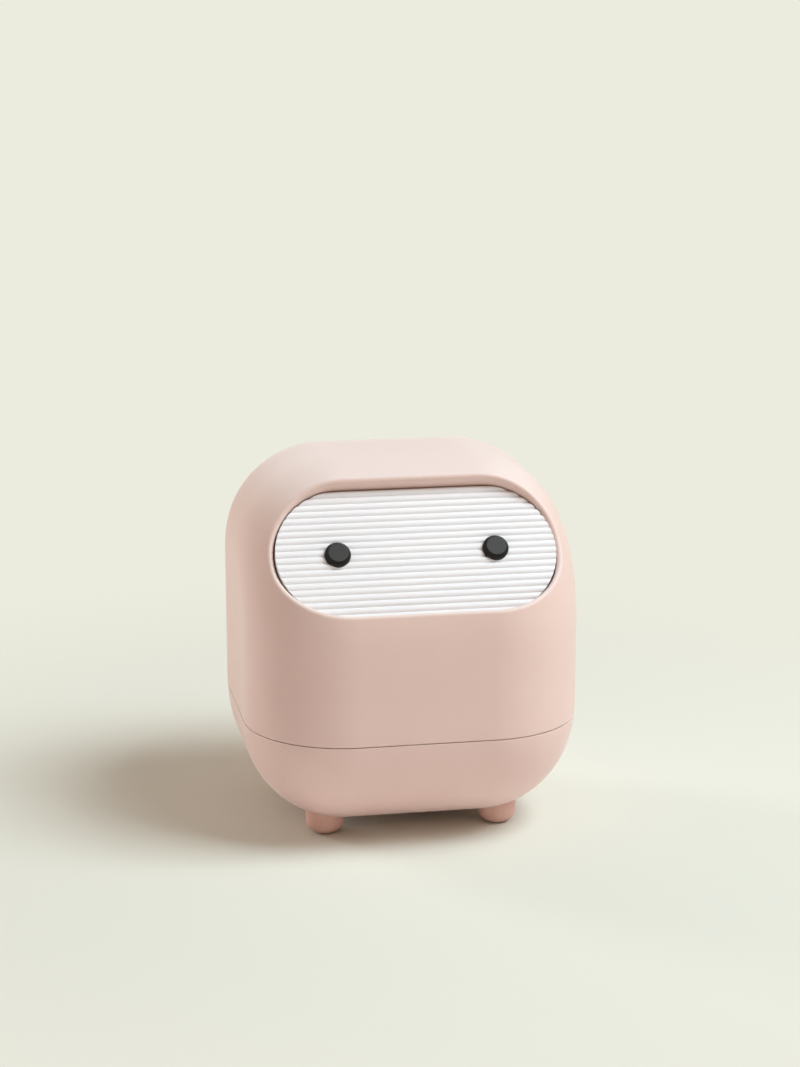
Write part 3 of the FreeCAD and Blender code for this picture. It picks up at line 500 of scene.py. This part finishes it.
# %% Skin the line with a tube
def wire_mesh(name, line):
    shape = bmesh.new()
    normal = across
    rings = []
    last = len(line) - 1

    def ring(centre, spokes, width):
        rings.append([shape.verts.new(centre + spoke * wire_radius * width) for spoke in spokes])

    for index, place in enumerate(line):
        before = line[max(index - 1, 0)]
        after = line[min(index + 1, last)]
        forward = (after - before).normalized()
        normal = (normal - forward * normal.dot(forward)).normalized()
        binormal = forward.cross(normal)
        angles = [math.tau * k / wire_sides for k in range(wire_sides)]
        spokes = [normal * math.cos(angle) + binormal * math.sin(angle) for angle in angles]
        if index == 0:
            ring(place - forward * wire_radius * tip_reach, spokes, tip_width)
        ring(place, spokes, 1)
        if index == last:
            ring(place + forward * wire_radius * tip_reach, spokes, tip_width)
    for one, two in zip(rings, rings[1:]):
        for k in range(wire_sides):
            beside = (k + 1) % wire_sides
            shape.faces.new((one[k], one[beside], two[beside], two[k]))
    shape.faces.new(list(reversed(rings[0])))
    shape.faces.new(rings[-1])
    bmesh.ops.recalc_face_normals(shape, faces=shape.faces)
    mesh = bpy.data.meshes.new(name)
    shape.to_mesh(mesh)
    shape.free()
    mesh.polygons.foreach_set("use_smooth", [True] * len(mesh.polygons))
    return mesh


print("wire of", wire_sides, "sides, radius", wire_radius)

# %% Fit a spring on each side
for hand in ("left", "right"):
    name = f"wound_spring_{hand}"
    node = f"return_spring_{hand}"
    low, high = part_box(node)
    side = math.copysign(1, low[0])
    middle = (low[0] + high[0]) / 2 + side * (flap_leg - collar_leg) / 2 * leg_drift
    line, flap_turn, collar_turn = coil_line(middle, side)
    spring = bpy.data.objects.new(name, wire_mesh(name, line))
    spring.data.materials.append(spring_wire)
    bpy.context.scene.collection.objects.link(spring)
    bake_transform(spring)
    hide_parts(node)
    print(spring.name, "has", len(spring.data.vertices), "points round x =", round(middle, 4))

# %% [markdown]
# The studio is a pale floor that bends up into a backdrop a long way behind, so no horizon shows. Near
# the bin it is matt paper that keeps the soft shadow. Further out it fades, for what the camera or a
# reflection sees, into an even tint that no lamp can tip brighter or darker. The light path node tells
# the two kinds of ray apart, and it also lets the paper throw back a little more light than it seems
# to.

# %% Helpers for the floor and backdrop
def sweep_floor(name, half_width, front, back, rise, bend, steps):
    line = [(front, 0.0)]
    for step in range(steps + 1):
        angle = math.pi / 2 * step / steps
        line.append((back - bend + bend * math.sin(angle), bend - bend * math.cos(angle)))
    line.append((back, rise))
    points = [(x, y, z) for y, z in line for x in (-half_width, half_width)]
    faces = [(i, i + 1, i + 3, i + 2) for i in range(0, len(points) - 2, 2)]
    mesh = bpy.data.meshes.new(name)
    mesh.from_pydata(points, [], faces)
    mesh.polygons.foreach_set("use_smooth", [True] * len(faces))
    floor = bpy.data.objects.new(name, mesh)
    bpy.context.scene.collection.objects.link(floor)
    return floor


def seen_directly(tree):
    path = add(tree, "ShaderNodeLightPath").outputs
    either = math_node(tree, "MAXIMUM", path["Is Camera Ray"], path["Is Glossy Ray"])
    return math_node(tree, "MAXIMUM", either, path["Is Transmission Ray"])


print("floor and light path helpers ready")

# %% Lay the floor and give it its paper
backdrop_tint = paint(236, 236, 222)
floor = sweep_floor("studio_floor", half_width=6.0, front=-4.0, back=4.0, rise=4.0, bend=1.5, steps=16)
floor_finish, tree, shader = new_finish("studio_paper", roughness=0.9, specular_ior_level=0.0)
direct = seen_directly(tree)
paper_tone = mix_colour(tree, direct, paint(250, 244, 240), paint(224, 226, 213))
tree.links.new(paper_tone, shader.inputs["Base Color"])
away = add(tree, "ShaderNodeVectorMath", {0: object_place(tree), 1: (1, 1, 0)}, operation="MULTIPLY")
radius = add(tree, "ShaderNodeVectorMath", {0: away.outputs[0]}, operation="LENGTH").outputs["Value"]
fade = add(tree, "ShaderNodeMapRange", {"Value": radius, "From Min": 0.12, "From Max": 0.42},
           interpolation_type="SMOOTHSTEP")
tint = add(tree, "ShaderNodeEmission", {"Color": backdrop_tint, "Strength": 1.0})
even = math_node(tree, "MULTIPLY", fade.outputs["Result"], direct)
paper = add(tree, "ShaderNodeMixShader", {0: even, 1: shader.outputs[0], 2: tint.outputs[0]})
tree.links.new(paper.outputs[0], tree.nodes["Material Output"].inputs["Surface"])
floor.data.materials.append(floor_finish)
print("floor", len(floor.data.polygons), "faces")

# %% [markdown]
# The photograph is lit softly from the upper right, with the left front corner in half shade and a pale
# rim of light down the left side. One large cool panel stands high on the right, a strip stands behind
# on the left, and a dim warm sky fills the rest. The strip is kept out of reflections, where it would
# draw a hard glare on the shoulder. What is seen directly in the sky is the backdrop's tint.

# %% Hang the lamps
def soft_panel(name, turn, height, distance, width, length, power, colour):
    turn = math.radians(turn)
    height = math.radians(height)
    out = Vector((math.sin(turn) * math.cos(height), -math.cos(turn) * math.cos(height), math.sin(height)))
    lamp = bpy.data.lights.new(name, "AREA")
    lamp.shape = "RECTANGLE"
    lamp.size = width
    lamp.size_y = length
    lamp.energy = power
    lamp.color = colour
    panel = bpy.data.objects.new(name, lamp)
    panel.location = Vector((0, 0, 0.08)) + out * distance
    panel.rotation_euler = out.to_track_quat("Z", "Y").to_euler()
    bpy.context.scene.collection.objects.link(panel)
    return panel


soft_panel("right_panel", turn=63, height=53, distance=1.8, width=1.0, length=1.0, power=31,
           colour=(0.88, 1.0, 1.08))
strip = soft_panel("left_strip", turn=-132, height=4, distance=1.6, width=0.4, length=1.0, power=17,
                   colour=(0.97, 1.0, 1.03))
strip.visible_glossy = False

# %% Set the sky and the view
sky = bpy.data.worlds.new("studio_sky")
sky.use_nodes = True
tree = sky.node_tree
fill = tree.nodes["Background"]
fill.inputs["Color"].default_value = (1.0, 0.80, 0.69, 1)
fill.inputs["Strength"].default_value = 0.38
shown = add(tree, "ShaderNodeBackground", {"Color": backdrop_tint, "Strength": 1.0})
whole = add(tree, "ShaderNodeMixShader", {0: seen_directly(tree), 1: fill.outputs[0], 2: shown.outputs[0]})
tree.links.new(whole.outputs[0], tree.nodes["World Output"].inputs["Surface"])
bpy.context.scene.world = sky
bpy.context.scene.view_settings.view_transform = "Standard"
print("sky fill at", round(fill.inputs["Strength"].default_value, 2))

# %% [markdown]
# Dressing the bin must not change its size.

# %% End of the script
print("scene dressed")
